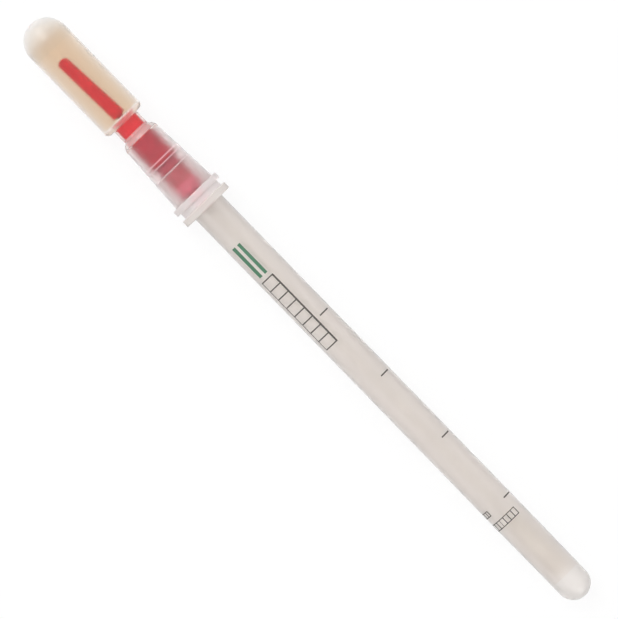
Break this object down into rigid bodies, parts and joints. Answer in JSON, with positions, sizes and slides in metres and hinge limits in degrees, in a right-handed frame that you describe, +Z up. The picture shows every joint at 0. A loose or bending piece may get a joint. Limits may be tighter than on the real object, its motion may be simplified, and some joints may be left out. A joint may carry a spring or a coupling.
{
  "type": "specimen swab tube",
  "caption": "Round-bottomed swab tube closed by a liquid-filled squeeze bulb cap, with a snap valve and a swab on a long stem inside.",
  "frame": {"origin": "centre of the bounding box's bottom face, on the surface that the part lies on", "axes": "+Z up; +X along the part towards the tube's round end, with the bulb at -X; the tube's axis drops by 1.23 degrees towards +X, because the part rests on its stop flange and its round end"},
  "size_m": [0.1872, 0.0136, 0.0137],
  "materials": {
    "tube_plastic": "satin",
    "cap_plastic": "satin",
    "valve_plastic": "satin",
    "stem_plastic": "satin",
    "bud_fibre": "matte",
    "broth": "gloss",
    "black_print": "matte",
    "green_print": "matte"
  },
  "bodies": {
    "tube": {"sample_tube": "tube_plastic"},
    "swab": {"squeeze_cap": "cap_plastic", "snap_valve": "valve_plastic", "swab_stem": "stem_plastic", "swab_bud": "bud_fibre", "broth": "broth"}
  },
  "joints": [
    {"name": "swab_pull", "type": "slide", "parent": "tube", "child": "swab", "axis": [-0.9998, 0, 0.0215], "range_m": [0, 0.14]}
  ]
}
